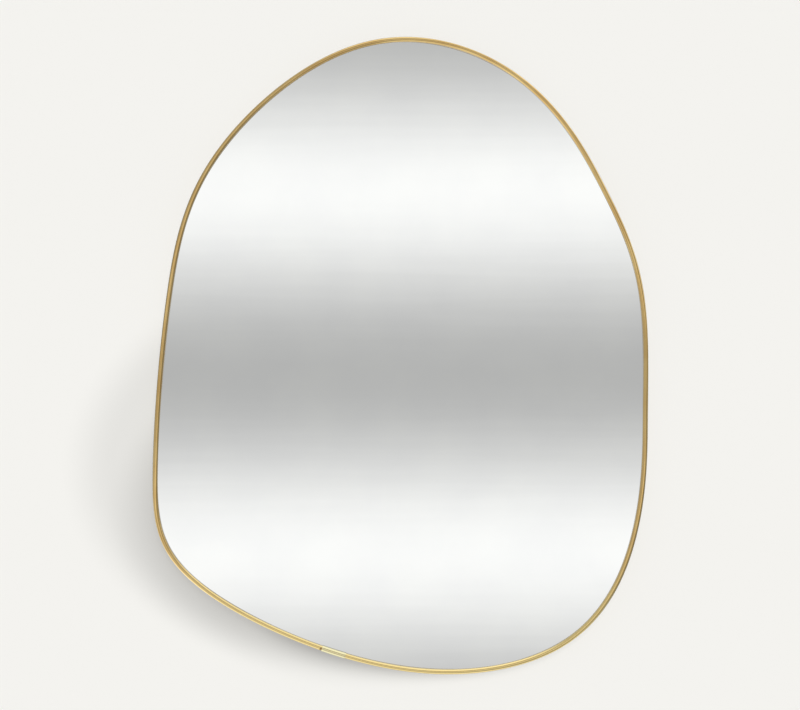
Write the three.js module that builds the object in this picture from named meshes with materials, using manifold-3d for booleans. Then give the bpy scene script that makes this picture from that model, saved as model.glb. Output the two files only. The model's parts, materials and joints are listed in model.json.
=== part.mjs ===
// A wall mirror with an irregular, pebble-like outline: silvered glass in a bent brass rim with a rounded nose.
// The rim's two ends meet under a short sleeve at the lower left. The glass is taped to a fibreboard back,
// angle clips hold the back in the rim, and the mirror hangs by two D-rings in rolled strap hangers.
// Millimetres, +Z up, +X right, and the glass faces -Y. The origin lies on the wall plane, midway between
// the two wall hooks, at the height where the raised rings bear on them.

import * as THREE from 'three';
import { mergeVertices } from 'three/addons/utils/BufferGeometryUtils.js';
import Module from 'manifold-3d';

const wasm = await Module();
wasm.setup();

// Overall size and the way it stands off the wall
const mirrorWidth = 700;
const mirrorHeight = 900;
const rimDepth = 25;
const wallGap = 1;

// Pull points of the closed smooth curve that is the rim's outer edge, seen from the front and taken clockwise.
// Only their proportions count: the curve is fitted to the width and height above.
const edgePulls = [
  [0, -477], [-339, -323], [-357, -192], [-333, 106], [-290, 289], [-51, 490],
  [195, 411], [298, 229], [353, 102], [349, -75], [350, -233], [274, -428],
];
const edgeSteps = 160;

// Clearances
const seatGap = 0.3;
const runningGap = 0.3;
const holeGap = 0.3;
const glassEdgeGap = 1;

// Rim: a rounded nose with a thin side wall behind it
const noseWidth = 7.2;
const noseDepth = 6;
const wallThickness = 1.5;
const noseArcSteps = 4;

// Where the bent rim closes: compass bearings are degrees clockwise from the top, seen from the middle
const seamBearing = 192.7;
const buttGap = 0.4;
const sleeveLength = 35;
const sleeveThickness = 0.4;
const sleeveGap = 0.25;
const sleeveSteps = 6;
const splicePlateLength = 60;
const splicePlateThickness = 2;
const splicePlateHeight = 5;
const splicePlateSteps = 6;

// Glass, tape and back
const glassThickness = 4;
const glassArris = 0.4;
const tapeThickness = 1;
const tapeWidth = 25;
const tapeCount = 4;
const tapeSpacing = 140;
const tapeMargin = 40;
const boardThickness = 6;

// Angle clips between the rim's side wall and the back
const clipCount = 10;
const clipWidth = 14;
const clipFoot = 15;
const clipUpstand = 5.5;
const clipThickness = 1;
const clipBend = 1;
const clipCorner = 3;
const clipScrewPlace = 9.5;

// Pan-head screws: shank and head radii, shank length under the head and head height
const clipScrew = { shankRadius: 1.45, headRadius: 2.8, length: 6, headHeight: 1.8, tip: 1.5 };
const hangerScrew = { shankRadius: 1.75, headRadius: 3.4, length: 6.5, headHeight: 2.1, tip: 1.5 };
const screwSides = 12;

// Strap hangers, placed about the plumb line through the mirror's centre of mass
const balancePlace = 6;
const hookSpan = 400;
const hookHeight = 250;
const strapWidth = 14;
const strapThickness = 1.2;
const strapLength = 40;
const strapCorner = 5;
const strapUpperScrew = 9.5;
const strapLowerScrew = 33;
const rollArcSteps = 12;

// D-rings: bent round wire whose ends meet inside the strap's rolled eye
const wireRadius = 1.5;
const ringInnerWidth = 18;
const ringInnerLength = 22.5;
const ringBend = 3;
const ringSeam = 0.5;
const ringSteps = 56;
const wireArcSteps = 4;

// Rubber bumpers on the back, which bear on the wall
const bumperBearings = { upper_right: 25, lower_right: 140, lower_left: 220, upper_left: 335 };
const bumperInset = 40;
const bumperRadius = 7;
const bumperTipRadius = 5;
const bumperEdge = 1;
const bumperSides = 20;

// Depths along Y, from the wall forward
const rimRear = -wallGap;
const noseFront = rimRear - rimDepth;
const glassFront = noseFront + noseDepth + seatGap;
const glassBack = glassFront + glassThickness;
const tapeFront = glassBack + seatGap;
const boardFront = tapeFront + tapeThickness + seatGap;
const boardBack = boardFront + boardThickness;

const eyeInnerRadius = wireRadius + runningGap;
const eyeOuterRadius = eyeInnerRadius + strapThickness;
const ringArmPlace = ringInnerWidth / 2 + wireRadius;
const ringBowPlace = wireRadius + ringInnerLength - ringInnerWidth / 2;
const hangerAxisHeight = hookHeight - (wireRadius + ringInnerLength);
const panelInset = wallThickness + glassEdgeGap;

const brass = { color: '#c39b5d', metalness: 1, roughness: 0.32 };
const polishedBrass = { color: '#dcb878', metalness: 1, roughness: 0.15 };
const silvering = { color: '#e6e8e7', metalness: 1, roughness: 0.02 };
const fibreboard = { color: '#9b7d5c', metalness: 0, roughness: 0.85 };
const foam = { color: '#e9e7e1', metalness: 0, roughness: 0.95 };
const zincedSteel = { color: '#b9bcc0', metalness: 1, roughness: 0.38 };
const rubber = { color: '#26272a', metalness: 0, roughness: 0.8 };

// A closed uniform cubic spline, which passes near its pull points and bends smoothly all the way round
class SmoothEdge extends THREE.Curve {
  constructor(pulls) {
    super();
    this.pulls = pulls;
    this.arcLengthDivisions = 2400;
  }

  getPoint(t, target = new THREE.Vector2()) {
    const along = THREE.MathUtils.euclideanModulo(t, 1) * this.pulls.length;
    const first = Math.floor(along);
    const s = along - first;
    const weights = [(1 - s) ** 3, 3 * s ** 3 - 6 * s ** 2 + 4, -3 * s ** 3 + 3 * s ** 2 + 3 * s + 1, s ** 3];
    target.set(0, 0);
    weights.forEach((weight, step) => {
      target.addScaledVector(this.pulls[(first + step) % this.pulls.length], weight / 6);
    });
    return target;
  }
}

// The edge curve through the given pull points, moved and stretched to the mirror's width and height
function fitEdge(places, width, height) {
  const pulls = places.map(([x, z]) => new THREE.Vector2(x, z));
  const bounds = new THREE.Box2().setFromPoints(new SmoothEdge(pulls).getPoints(edgeSteps * 8));
  const size = bounds.getSize(new THREE.Vector2());
  const middle = bounds.getCenter(new THREE.Vector2());
  const stretch = new THREE.Vector2(width / size.x, height / size.y);
  return new SmoothEdge(pulls.map((pull) => pull.sub(middle).multiply(stretch)));
}

const edge = fitEdge(edgePulls, mirrorWidth, mirrorHeight);
const edgeLength = edge.getLength();

// Point and inward direction at a share of the way round the edge
function edgeAt(share) {
  const place = THREE.MathUtils.euclideanModulo(share, 1);
  const tangent = edge.getTangentAt(place);
  return { point: edge.getPointAt(place), inward: new THREE.Vector2(tangent.y, -tangent.x) };
}

function insetPoint(share, inset) {
  const { point, inward } = edgeAt(share);
  return point.addScaledVector(inward, inset);
}

// Share of the way round at which the edge lies in a compass bearing, found by halving
function shareAtBearing(bearing) {
  const turned = (share) => {
    const { x, y } = edge.getPointAt(share);
    return THREE.MathUtils.euclideanModulo(THREE.MathUtils.radToDeg(Math.atan2(x, y)) - startBearing, 360);
  };
  const start = edge.getPointAt(0);
  const startBearing = THREE.MathUtils.radToDeg(Math.atan2(start.x, start.y));
  const goal = THREE.MathUtils.euclideanModulo(bearing - startBearing, 360);
  let low = 0;
  let high = 1 - 1e-6;
  for (let halving = 0; halving < 40; halving += 1) {
    const middle = (low + high) / 2;
    if (turned(middle) < goal) {
      low = middle;
    } else {
      high = middle;
    }
  }
  return low;
}

const seamShare = shareAtBearing(seamBearing);

// A stretch of the edge in the upright XZ plane, clockwise from one length past the seam to another
class EdgeRun extends THREE.Curve {
  constructor(from, to) {
    super();
    this.from = from;
    this.to = to;
  }

  getPoint(t, target = new THREE.Vector3()) {
    const past = THREE.MathUtils.lerp(this.from, this.to, t);
    const place = THREE.MathUtils.euclideanModulo(seamShare + past / edgeLength, 1);
    const { x, y } = edge.getPointAt(place);
    return target.set(x, 0, y);
  }
}

// A flat path stood up in the XZ plane
class UprightPath extends THREE.Curve {
  constructor(flat) {
    super();
    this.flat = flat;
  }

  getPoint(t, target = new THREE.Vector3()) {
    const { x, y } = this.flat.getPoint(t);
    return target.set(x, 0, y);
  }
}

function sweep(section, path, steps, curveSegments) {
  return new THREE.ExtrudeGeometry(section, { extrudePath: path, steps, curveSegments, bevelEnabled: false });
}

// A plan outline in X and Z given a thickness along Y, from y = 0 forward
function plate(plan, thickness, options = {}) {
  const settings = { depth: thickness, bevelEnabled: false, ...options };
  return new THREE.ExtrudeGeometry(plan, settings).rotateX(Math.PI / 2);
}

function toSolid(geometry) {
  const bare = geometry.clone();
  bare.deleteAttribute('normal');
  bare.deleteAttribute('uv');
  const merged = mergeVertices(bare);
  const vertProperties = merged.attributes.position.array;
  const triVerts = Uint32Array.from(merged.index.array);
  return new wasm.Manifold(new wasm.Mesh({ numProp: 3, vertProperties, triVerts }));
}

function toGeometry(solid) {
  const { vertProperties, triVerts } = solid.getMesh();
  const geometry = new THREE.BufferGeometry();
  geometry.setAttribute('position', new THREE.BufferAttribute(vertProperties, 3));
  geometry.setIndex(new THREE.BufferAttribute(triVerts, 1));
  geometry.computeVertexNormals();
  return geometry;
}

// A bent strip cut to its plan: the blank keeps only what lies behind the plan's outline, less its holes
function cutToPlan(blank, plan, reach) {
  const cutter = plate(plan, 2 * reach, { curveSegments: 6 }).translate(0, reach, 0);
  return toGeometry(toSolid(blank).intersect(toSolid(cutter)));
}

function roundHole(x, z, radius) {
  return new THREE.Path().absarc(x, z, radius, 0, 2 * Math.PI, true);
}

function twoDigits(number) {
  return String(number).padStart(2, '0');
}

function piece(name, geometry, finish) {
  const mesh = new THREE.Mesh(geometry, new THREE.MeshStandardMaterial(finish));
  mesh.name = name;
  return mesh;
}

// Rim: its section is drawn with x forward from the rear edge and y inward from the outer edge
function makeRim() {
  const nose = noseWidth / 2;
  const section = new THREE.Shape();
  section.moveTo(0, 0);
  section.lineTo(rimDepth - nose, 0);
  section.absarc(rimDepth - nose, nose, nose, -Math.PI / 2, Math.PI / 2, false);
  section.lineTo(rimDepth - noseDepth, noseWidth);
  section.lineTo(rimDepth - noseDepth, wallThickness);
  section.lineTo(0, wallThickness);
  section.closePath();
  const path = new EdgeRun(buttGap / 2, edgeLength - buttGap / 2);
  const rim = piece('frame_rim', sweep(section, path, edgeSteps, noseArcSteps), brass);
  rim.position.y = rimRear;
  return rim;
}

// Sleeve over the joint: an even wrap round the side wall and the nose, down to the glass
function makeSleeve() {
  const nose = noseWidth / 2;
  const lining = sleeveGap;
  const skin = sleeveGap + sleeveThickness;
  const section = new THREE.Shape();
  section.moveTo(0, -lining);
  section.lineTo(0, -skin);
  section.lineTo(rimDepth - nose, -skin);
  section.absarc(rimDepth - nose, nose, nose + skin, -Math.PI / 2, Math.PI / 2, false);
  section.lineTo(rimDepth - noseDepth, noseWidth + skin);
  section.lineTo(rimDepth - noseDepth, noseWidth + lining);
  section.lineTo(rimDepth - nose, noseWidth + lining);
  section.absarc(rimDepth - nose, nose, nose + lining, Math.PI / 2, -Math.PI / 2, true);
  section.closePath();
  const path = new EdgeRun(-sleeveLength / 2, sleeveLength / 2);
  const sleeve = piece('joint_sleeve', sweep(section, path, sleeveSteps, noseArcSteps), polishedBrass);
  sleeve.position.y = rimRear;
  return sleeve;
}

// Splice plate: brazed inside the side wall across the joint, behind the back
function makeSplicePlate() {
  const inner = wallThickness + seatGap;
  const section = new THREE.Shape();
  section.moveTo(0, inner);
  section.lineTo(splicePlateHeight, inner);
  section.lineTo(splicePlateHeight, inner + splicePlateThickness);
  section.lineTo(0, inner + splicePlateThickness);
  section.closePath();
  const path = new EdgeRun(-splicePlateLength / 2, splicePlateLength / 2);
  const plateMesh = piece('splice_plate', sweep(section, path, splicePlateSteps), zincedSteel);
  plateMesh.position.y = boardBack + seatGap + splicePlateHeight;
  return plateMesh;
}

// Outline shared by the glass and the back, which both drop into the rim from behind
function panelOutline() {
  const corners = Array.from({ length: edgeSteps }, (_, step) => insetPoint(-step / edgeSteps, panelInset));
  return new THREE.Shape(corners);
}

function makeGlass() {
  const arris = { bevelEnabled: true, bevelThickness: glassArris, bevelSize: glassArris,
    bevelOffset: -glassArris, bevelSegments: 1 };
  const sheet = plate(panelOutline(), glassThickness - 2 * glassArris, arris);
  const glass = piece('mirror_glass', sheet, silvering);
  glass.position.y = glassBack - glassArris;
  return glass;
}

// Lowest and highest point at which an upright line at x crosses the edge of the glass and back
function chordAt(x) {
  const corners = panelOutline().getPoints();
  const crossings = [];
  corners.forEach((here, index) => {
    const next = corners[(index + 1) % corners.length];
    if (here.x !== next.x && (here.x - x) * (next.x - x) <= 0) {
      crossings.push(THREE.MathUtils.mapLinear(x, here.x, next.x, here.y, next.y));
    }
  });
  return { low: Math.min(...crossings), high: Math.max(...crossings) };
}

// Foam tape: upright strips that bond the glass to the back
function makeTapes() {
  return Array.from({ length: tapeCount }, (_, index) => {
    const x = (index - (tapeCount - 1) / 2) * tapeSpacing;
    const { low, high } = chordAt(x);
    const strip = new THREE.BoxGeometry(tapeWidth, tapeThickness, high - low - 2 * tapeMargin);
    const tape = piece(`foam_tape_${index + 1}`, strip, foam);
    tape.position.set(x, tapeFront + tapeThickness / 2, (low + high) / 2);
    return tape;
  });
}

// Clip places: evenly round the rim from the seam, each with its point on the outer edge and inward direction
const clipPlaces = Array.from({ length: clipCount }, (_, index) => edgeAt(seamShare + (index + 0.5) / clipCount));

function clipScrewPoint({ point, inward }) {
  return point.clone().addScaledVector(inward, wallThickness + seatGap + clipScrewPlace);
}

const hangerPlaces = { left: balancePlace - hookSpan / 2, right: balancePlace + hookSpan / 2 };
const hangerScrewPoints = Object.values(hangerPlaces).flatMap((x) => [
  new THREE.Vector2(x, hangerAxisHeight - strapUpperScrew),
  new THREE.Vector2(x, hangerAxisHeight - strapLowerScrew),
]);

// Back: fibreboard with a pilot hole for every screw
function makeBoard() {
  const outline = panelOutline();
  const drill = ({ x, y }, screw) => outline.holes.push(roundHole(x, y, screw.shankRadius + holeGap));
  clipPlaces.forEach((place) => drill(clipScrewPoint(place), clipScrew));
  hangerScrewPoints.forEach((point) => drill(point, hangerScrew));
  const board = piece('backing_board', plate(outline, boardThickness, { curveSegments: screwSides / 2 }), fibreboard);
  board.position.y = boardBack;
  return board;
}

// Angle clip in its own frame: x inward from the side wall, y from the back to the wall, z along the rim
function clipGeometry() {
  const profile = new THREE.Shape();
  const outerBend = clipBend + clipThickness;
  profile.moveTo(0, clipUpstand);
  profile.lineTo(0, outerBend);
  profile.absarc(outerBend, outerBend, outerBend, Math.PI, 1.5 * Math.PI, false);
  profile.lineTo(clipFoot, 0);
  profile.lineTo(clipFoot, clipThickness);
  profile.lineTo(outerBend, clipThickness);
  profile.absarc(outerBend, outerBend, clipBend, 1.5 * Math.PI, Math.PI, true);
  profile.lineTo(clipThickness, clipUpstand);
  profile.closePath();
  const settings = { depth: clipWidth, bevelEnabled: false, curveSegments: 2 };
  const blank = new THREE.ExtrudeGeometry(profile, settings).translate(0, 0, -clipWidth / 2);

  const half = clipWidth / 2;
  const plan = new THREE.Shape();
  plan.moveTo(-clipThickness, -half - clipThickness);
  plan.lineTo(clipFoot - clipCorner, -half - clipThickness);
  plan.lineTo(clipFoot - clipCorner, -half);
  plan.absarc(clipFoot - clipCorner, -half + clipCorner, clipCorner, -Math.PI / 2, 0, false);
  plan.absarc(clipFoot - clipCorner, half - clipCorner, clipCorner, 0, Math.PI / 2, false);
  plan.lineTo(clipFoot - clipCorner, half + clipThickness);
  plan.lineTo(-clipThickness, half + clipThickness);
  plan.closePath();
  plan.holes.push(roundHole(clipScrewPlace, 0, clipScrew.shankRadius + holeGap));
  return cutToPlan(blank, plan, clipUpstand + clipThickness);
}

function makeClips() {
  const geometry = clipGeometry();
  return clipPlaces.map(({ point, inward }, index) => {
    const seat = point.clone().addScaledVector(inward, wallThickness + seatGap);
    const clip = piece(`board_clip_${twoDigits(index + 1)}`, geometry.clone(), zincedSteel);
    clip.position.set(seat.x, boardBack + seatGap, seat.y);
    clip.rotation.y = Math.atan2(-inward.y, inward.x);
    return clip;
  });
}

// Pan-head screw along Y: the head's underside is at y = 0 and the point reaches forward
function screwGeometry({ shankRadius, headRadius, length, headHeight, tip }) {
  const profile = [
    [0, -length],
    [shankRadius, -length + tip],
    [shankRadius, 0],
    [headRadius, 0],
    [headRadius, headHeight * 0.4],
    [headRadius * 0.7, headHeight * 0.9],
    [0, headHeight],
  ];
  return new THREE.LatheGeometry(profile.map(([r, y]) => new THREE.Vector2(r, y)), screwSides);
}

function makeScrews(name, screw, points, seat) {
  return points.map((point, index) => {
    const mesh = piece(`${name}_${twoDigits(index + 1)}`, screwGeometry(screw), zincedSteel);
    mesh.position.set(point.x, seat, point.y);
    return mesh;
  });
}

// Strap hanger in its own frame: y from the back to the wall, z up, x across, with the ring's axis on z = 0
function strapGeometry() {
  const rollEnd = 2 * Math.PI - Math.acos(1 - (strapThickness + seatGap) / eyeOuterRadius);
  const profile = new THREE.Shape();
  profile.moveTo(0, -strapLength);
  profile.lineTo(0, 0);
  profile.absarc(eyeOuterRadius, 0, eyeOuterRadius, Math.PI, Math.PI - rollEnd, true);
  profile.absarc(eyeOuterRadius, 0, eyeInnerRadius, Math.PI - rollEnd, Math.PI, false);
  profile.lineTo(strapThickness, -strapLength);
  profile.closePath();
  const settings = { depth: strapWidth, bevelEnabled: false, curveSegments: rollArcSteps };
  const toUpright = new THREE.Matrix4().makeBasis(
    new THREE.Vector3(0, 1, 0),
    new THREE.Vector3(0, 0, 1),
    new THREE.Vector3(1, 0, 0),
  );
  const blank = new THREE.ExtrudeGeometry(profile, settings).applyMatrix4(toUpright).translate(-strapWidth / 2, 0, 0);

  const half = strapWidth / 2;
  const plan = new THREE.Shape();
  plan.moveTo(-half - strapThickness, 2 * eyeOuterRadius);
  plan.lineTo(-half - strapThickness, strapCorner - strapLength);
  plan.lineTo(-half, strapCorner - strapLength);
  plan.absarc(strapCorner - half, strapCorner - strapLength, strapCorner, Math.PI, 1.5 * Math.PI, false);
  plan.absarc(half - strapCorner, strapCorner - strapLength, strapCorner, 1.5 * Math.PI, 2 * Math.PI, false);
  plan.lineTo(half + strapThickness, strapCorner - strapLength);
  plan.lineTo(half + strapThickness, 2 * eyeOuterRadius);
  plan.closePath();
  plan.holes.push(roundHole(0, -strapUpperScrew, hangerScrew.shankRadius + holeGap));
  plan.holes.push(roundHole(0, -strapLowerScrew, hangerScrew.shankRadius + holeGap));
  return cutToPlan(blank, plan, 3 * eyeOuterRadius);
}

// D-ring hanging down from its straight bar, which lies along X through the origin
function ringGeometry() {
  const bow = -ringBowPlace;
  const bendPlace = ringArmPlace - ringBend;
  const centreLine = new THREE.Path();
  centreLine.moveTo(ringSeam / 2, 0);
  centreLine.lineTo(bendPlace, 0);
  centreLine.absarc(bendPlace, -ringBend, ringBend, Math.PI / 2, 0, true);
  centreLine.lineTo(ringArmPlace, bow);
  centreLine.absarc(0, bow, ringArmPlace, 0, -Math.PI, true);
  centreLine.lineTo(-ringArmPlace, -ringBend);
  centreLine.absarc(-bendPlace, -ringBend, ringBend, Math.PI, Math.PI / 2, true);
  centreLine.lineTo(-ringSeam / 2, 0);
  const wire = new THREE.Shape().absarc(0, 0, wireRadius, 0, 2 * Math.PI, false);
  return sweep(wire, new UprightPath(centreLine), ringSteps, wireArcSteps);
}

function makeHanger(side, x) {
  const hanger = new THREE.Group();
  hanger.position.set(x, boardBack + seatGap, hangerAxisHeight);
  const strap = piece(`hanger_strap_${side}`, strapGeometry(), zincedSteel);
  const ring = piece(`hanger_ring_${side}`, ringGeometry(), zincedSteel);
  ring.position.y = eyeOuterRadius;
  hanger.add(strap, ring);
  return hanger;
}

// Rubber bumper: a tapered foot from the back to the wall plane
function makeBumper(corner, bearing) {
  const height = -boardBack - seatGap;
  const profile = [
    [0, 0],
    [bumperRadius, 0],
    [bumperTipRadius + bumperEdge / 2, height - bumperEdge],
    [bumperTipRadius, height],
    [0, height],
  ];
  const points = profile.map(([r, y]) => new THREE.Vector2(r, y));
  const bumper = piece(`wall_bumper_${corner}`, new THREE.LatheGeometry(points, bumperSides), rubber);
  const { x, y } = insetPoint(shareAtBearing(bearing), bumperInset);
  bumper.position.set(x, boardBack + seatGap, y);
  return bumper;
}

const mirror = new THREE.Group();
mirror.add(makeRim(), makeSleeve(), makeSplicePlate(), makeGlass(), ...makeTapes(), makeBoard(), ...makeClips());
const clipFootTop = boardBack + seatGap + clipThickness + seatGap;
mirror.add(...makeScrews('clip_screw', clipScrew, clipPlaces.map(clipScrewPoint), clipFootTop));
const strapTop = boardBack + seatGap + strapThickness + seatGap;
mirror.add(...makeScrews('hanger_screw', hangerScrew, hangerScrewPoints, strapTop));
Object.entries(hangerPlaces).forEach(([side, x]) => mirror.add(makeHanger(side, x)));
Object.entries(bumperBearings).forEach(([corner, bearing]) => mirror.add(makeBumper(corner, bearing)));
mirror.position.set(-balancePlace, 0, -hookHeight);

export default mirror;
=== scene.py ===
import bisect
import json
import math

import bmesh
import bpy
from mathutils import Matrix, Vector


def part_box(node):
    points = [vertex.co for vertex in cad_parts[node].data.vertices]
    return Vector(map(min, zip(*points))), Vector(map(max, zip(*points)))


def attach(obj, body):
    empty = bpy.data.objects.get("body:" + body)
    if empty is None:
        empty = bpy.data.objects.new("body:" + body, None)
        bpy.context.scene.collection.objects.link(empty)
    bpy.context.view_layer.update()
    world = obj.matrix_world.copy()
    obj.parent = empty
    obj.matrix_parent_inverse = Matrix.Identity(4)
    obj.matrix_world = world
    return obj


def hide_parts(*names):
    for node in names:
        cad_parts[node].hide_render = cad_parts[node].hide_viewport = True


# A wall mirror with a pebble-like outline: silvered glass in a bent brass rim, seen straight from the front.
# Metres, +Z up, the glass faces -Y and the wall plane is y = 0.

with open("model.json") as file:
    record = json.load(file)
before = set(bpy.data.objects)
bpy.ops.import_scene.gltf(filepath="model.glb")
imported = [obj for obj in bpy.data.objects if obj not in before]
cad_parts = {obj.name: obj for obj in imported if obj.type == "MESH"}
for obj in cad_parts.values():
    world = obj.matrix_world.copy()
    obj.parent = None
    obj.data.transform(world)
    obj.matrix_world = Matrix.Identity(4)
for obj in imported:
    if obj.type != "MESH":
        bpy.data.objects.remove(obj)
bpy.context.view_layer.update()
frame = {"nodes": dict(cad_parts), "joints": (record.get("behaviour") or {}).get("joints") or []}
scene = bpy.context.scene
print("frame loaded:", len(frame["nodes"]), "solids")

# The photograph's frame, and how large the mirror stands in it
photo = {
    "width": 800,
    "height": 710,
    "mirrorCentre": (400.39, 355.57),  # pixel of the middle of the mirror's outline
    "metresPerPixel": 0.0014112,
    "cameraDistance": 3.2,  # from the widest part of the rim's nose
    "sensorWidth": 36.0,
}


# making and shaping pieces


def mm(length):
    return length / 1000


sameSpot = mm(0.01)  # what lies closer than this counts as one place
mergeWithin = mm(0.004)
roundSides = 32  # of a screw and of its hole


def startFrom(name):
    # takes the object that an operator has just added
    piece = bpy.context.object
    piece.name = name
    piece.data.name = name
    return piece


def pickNothing():
    bpy.ops.object.select_all(action="DESELECT")


def pickOnly(piece):
    pickNothing()
    piece.select_set(True)
    bpy.context.view_layer.objects.active = piece


def pickAll():
    bpy.ops.mesh.select_all(action="SELECT")


def openPiece(piece):
    pickOnly(piece)
    bpy.ops.object.mode_set(mode="EDIT")
    pickAll()


def closePiece():
    bpy.ops.object.mode_set(mode="OBJECT")


def applyPlace():
    bpy.ops.object.transform_apply(location=True, rotation=True, scale=True)


def pick(piece, kind, test):
    # in edit mode, selects only the vertices, edges or faces that pass the test
    bpy.ops.mesh.select_all(action="DESELECT")
    bpy.ops.mesh.select_mode(type=kind)
    mesh = bmesh.from_edit_mesh(piece.data)
    parts = {"VERT": mesh.verts, "EDGE": mesh.edges, "FACE": mesh.faces}[kind]
    for part in parts:
        part.select_set(test(part))
    mesh.select_flush_mode()
    bmesh.update_edit_mesh(piece.data)


def extrudeUp(height):
    bpy.ops.mesh.extrude_region_move(TRANSFORM_OT_translate={"value": (0, 0, height)})


def middleOf(edge):
    return (edge.verts[0].co + edge.verts[1].co) / 2


def isSharp(edge):
    return edge.is_manifold and edge.calc_face_angle() > math.radians(50)


def facesUp(face):
    return face.normal.z > 0.9


def facesDown(face):
    return face.normal.z < -0.9


def applyModifier(piece, kind, settings):
    pickOnly(piece)
    modifier = piece.modifiers.new(kind.lower(), kind)
    for name, value in settings.items():
        setattr(modifier, name, value)
    bpy.ops.object.modifier_apply(modifier=modifier.name)


def cutAway(piece, cutter):
    applyModifier(piece, "BOOLEAN", {"operation": "DIFFERENCE", "solver": "EXACT", "object": cutter})
    bpy.data.objects.remove(cutter)


def softenCorners(piece, width, segments=2, sharperThan=0.9):
    # rounds every edge that is sharper than an angle in radians
    settings = {"width": width, "segments": segments, "limit_method": "ANGLE", "angle_limit": sharperThan}
    applyModifier(piece, "BEVEL", settings)


def cleanUp(piece, angle=35):
    # merges doubles, turns the faces outward and smooths all but the real edges
    openPiece(piece)
    bpy.ops.mesh.remove_doubles(threshold=mergeWithin)
    bpy.ops.mesh.normals_make_consistent(inside=False)
    closePiece()
    pickOnly(piece)
    bpy.ops.object.shade_smooth_by_angle(angle=math.radians(angle))


def placeMesh(piece, matrix):
    # the place goes into the mesh, so the object stays at the origin
    piece.data.transform(matrix)
    piece.data.update()


def copyPiece(piece, name, matrix):
    copy = piece.copy()
    copy.data = piece.data.copy()
    copy.name = name
    copy.data.name = name
    bpy.context.collection.objects.link(copy)
    placeMesh(copy, matrix)
    return copy


def finishPiece(piece, material, body, slotName, *nodes):
    piece.data.materials.clear()
    piece.data.materials.append(material)
    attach(piece, body)
    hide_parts(*nodes)


def arc(centreX, centreY, radius, start, end, steps):
    # places on an arc, with its start and end in degrees
    turns = [math.radians(start + (end - start) * step / steps) for step in range(steps + 1)]
    return [(centreX + radius * math.cos(turn), centreY + radius * math.sin(turn)) for turn in turns]


def drawCurve(name, places, kind, isClosed):
    # a flat curve drawn vertex by vertex
    pickNothing()
    bpy.ops.curve.primitive_bezier_curve_add()
    curve = startFrom(name)
    bpy.ops.object.mode_set(mode="EDIT")
    bpy.ops.curve.select_all(action="SELECT")
    bpy.ops.curve.delete(type="VERT")
    for x, y in places:
        bpy.ops.curve.vertex_add(location=(x, y, 0))
    bpy.ops.curve.select_all(action="SELECT")
    bpy.ops.curve.spline_type_set(type="POLY")
    if kind == "NURBS":
        bpy.ops.curve.spline_type_set(type="NURBS")
    if isClosed:
        bpy.ops.curve.cyclic_toggle()
    closePiece()
    return curve


# the edge that everything follows

# Pull points of the rim's outer edge, seen from the front and taken clockwise; only their proportions count
edgePulls = [
    (0, -477), (-339, -323), (-357, -192), (-333, 106), (-290, 289), (-51, 490),
    (195, 411), (298, 229), (353, 102), (349, -75), (350, -233), (274, -428),
]
rimLow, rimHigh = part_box("frame_rim")
edgeSamples = 3600


def splinePoint(pulls, share):
    # a closed uniform cubic spline, the same curve as a closed NURBS of order 4
    along = share % 1 * len(pulls)
    first = int(along)
    s = along - first
    weights = ((1 - s) ** 3, 3 * s**3 - 6 * s**2 + 4, -3 * s**3 + 3 * s**2 + 3 * s + 1, s**3)
    point = Vector((0, 0))
    for step, weight in enumerate(weights):
        point += pulls[(first + step) % len(pulls)] * weight / 6
    return point


def fitPulls(places):
    # moves and stretches the pull points until the curve fills the rim's box
    pulls = [Vector(place) for place in places]
    points = [splinePoint(pulls, sample / edgeSamples) for sample in range(edgeSamples)]
    low = Vector((min(p.x for p in points), min(p.y for p in points)))
    high = Vector((max(p.x for p in points), max(p.y for p in points)))
    stretchX = (rimHigh.x - rimLow.x) / (high.x - low.x)
    stretchY = (rimHigh.z - rimLow.z) / (high.y - low.y)
    return [Vector((rimLow.x + (p.x - low.x) * stretchX, rimLow.z + (p.y - low.y) * stretchY)) for p in pulls]


fittedPulls = fitPulls(edgePulls)
edgePoints = [splinePoint(fittedPulls, sample / edgeSamples) for sample in range(edgeSamples + 1)]
edgeLengths = [0.0]
for here, there in zip(edgePoints, edgePoints[1:]):
    edgeLengths.append(edgeLengths[-1] + (there - here).length)
edgeLength = edgeLengths[-1]
edgeCentre = Vector(((rimLow.x + rimHigh.x) / 2, (rimLow.z + rimHigh.z) / 2))


def edgeAt(length):
    # point on the edge and inward direction, at a length clockwise from the first sample
    length %= edgeLength
    after = max(1, bisect.bisect_left(edgeLengths, length))
    here, there = edgePoints[after - 1], edgePoints[after]
    share = (length - edgeLengths[after - 1]) / (edgeLengths[after] - edgeLengths[after - 1])
    along = (there - here).normalized()
    return here.lerp(there, share), Vector((along.y, -along.x))


def lengthAtBearing(bearing):
    # where the edge crosses a compass bearing from the middle, clockwise from the top
    goal = Vector((math.sin(math.radians(bearing)), math.cos(math.radians(bearing))))
    across = Vector((goal.y, -goal.x))
    for sample in range(edgeSamples):
        here, there = edgePoints[sample] - edgeCentre, edgePoints[sample + 1] - edgeCentre
        before, after = here.dot(across), there.dot(across)
        if before <= 0 < after and here.dot(goal) > 0:
            step = edgeLengths[sample + 1] - edgeLengths[sample]
            return edgeLengths[sample] + step * before / (before - after)
    raise ValueError("the edge doesn't cross that bearing")


def drawEdge(name, resolution):
    # the whole edge as a curve, with a number of steps between two pull points
    path = drawCurve(name, [tuple(pull) for pull in fittedPulls], "NURBS", True)
    path.data.dimensions = "2D"
    path.data.fill_mode = "NONE"
    path.data.splines[0].order_u = 4
    path.data.splines[0].resolution_u = resolution
    return path


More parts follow.
